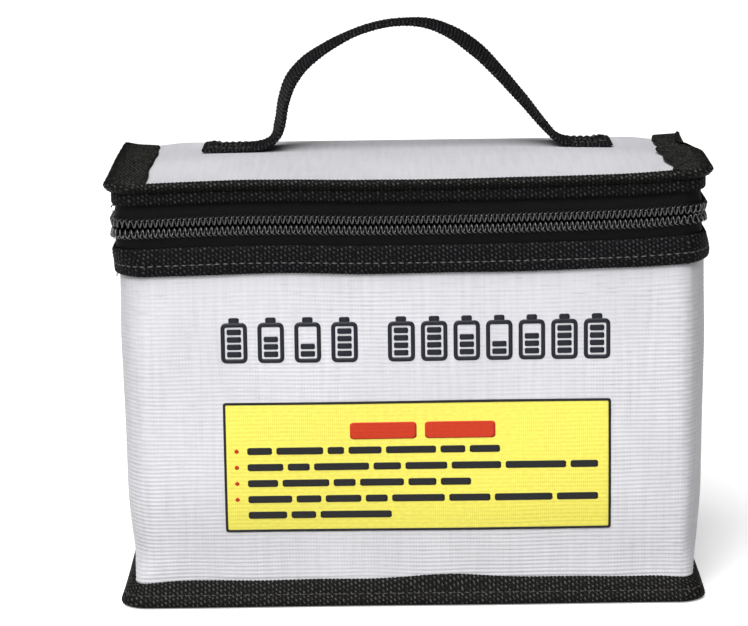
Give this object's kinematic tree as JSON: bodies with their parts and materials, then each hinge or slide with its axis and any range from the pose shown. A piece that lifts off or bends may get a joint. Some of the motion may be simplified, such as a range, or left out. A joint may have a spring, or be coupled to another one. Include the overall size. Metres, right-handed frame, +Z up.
{
  "type": "lipo battery safety bag",
  "caption": "Box-shaped fire-resistant cloth bag for charging and carrying lithium batteries, with a zipped fold-back lid, black bindings and a webbing carry handle.",
  "frame": {"origin": "centre of the base, on the surface it stands on", "axes": "+Z up; the front with the label faces -Y; the zip sliders are on the left end, towards -X"},
  "size_m": [0.221, 0.1173, 0.2064],
  "materials": {
    "silver_cloth": "coated glass cloth, satin",
    "lining_cloth": "plain woven glass cloth, matt",
    "black_binding": "ribbed polypropylene tape",
    "black_webbing": "woven polypropylene webbing",
    "zip_tape": "fine woven tape",
    "zip_coil": "nylon coil",
    "black_thread": "sewing thread",
    "slider_body": "dark plated die casting",
    "bright_metal": "polished plating",
    "label_yellow": "printed woven label",
    "label_black": "printed",
    "label_red": "printed",
    "dark_print": "screen print"
  },
  "bodies": {
    "bag_body": {"wrap_panel": "silver_cloth", "back_panel": "silver_cloth", "base_panel": "silver_cloth", "body_lining": "lining_cloth", "base_lining": "lining_cloth", "base_binding": "black_binding", "back_binding_left": "black_binding", "back_binding_right": "black_binding", "lower_webbing": "black_webbing", "lower_tape": "zip_tape", "lower_coil": "zip_coil", "label_patch": "label_yellow", "label_border": "label_black", "label_heading": "label_red", "label_lines": "label_black", "front_symbols": "dark_print"},
    "lid": {"lid_panel": "silver_cloth", "lid_lining": "lining_cloth", "lid_rim_binding": "black_binding", "lid_binding_left": "black_binding", "lid_binding_right": "black_binding", "upper_webbing": "black_webbing", "upper_tape": "zip_tape", "upper_coil": "zip_coil", "handle_root_left": "black_webbing", "handle_root_right": "black_webbing", "handle_tab_left": "black_webbing", "handle_tab_right": "black_webbing", "handle_stitching_left": "black_thread", "handle_stitching_right": "black_thread"},
    "handle": {"handle_strap": "black_webbing"},
    "front_slider": {"front_slider": "slider_body", "front_crown": "bright_metal"},
    "rear_slider": {"rear_slider": "slider_body", "rear_crown": "bright_metal"},
    "front_pull": {"front_pull": "bright_metal"},
    "rear_pull": {"rear_pull": "bright_metal"}
  },
  "joints": [
    {"name": "lid_hinge", "type": "hinge", "parent": "bag_body", "child": "lid", "pos_m": [0, 0.055, 0.141], "axis": [-1, 0, 0], "range_deg": [0, 110]},
    {"name": "handle_flop", "type": "hinge", "parent": "lid", "child": "handle", "pos_m": [0, 0.03, 0.1652], "axis": [1, 0, 0], "range_deg": [-70, 70], "deforming": ["handle_root_left", "handle_root_right"]},
    {"name": "front_slide", "type": "slide", "parent": "bag_body", "child": "front_slider", "axis": [0, -1, 0], "range_m": [0, 0.032]},
    {"name": "rear_slide", "type": "slide", "parent": "bag_body", "child": "rear_slider", "axis": [0, 1, 0], "range_m": [0, 0.022]},
    {"name": "front_pull_swing", "type": "hinge", "parent": "front_slider", "child": "front_pull", "pos_m": [-0.1096, -0.0082, 0.141], "axis": [-1, 0, 0], "range_deg": [-6, 90]},
    {"name": "rear_pull_swing", "type": "hinge", "parent": "rear_slider", "child": "rear_pull", "pos_m": [-0.1096, 0.0082, 0.141], "axis": [1, 0, 0], "range_deg": [-6, 90]}
  ]
}
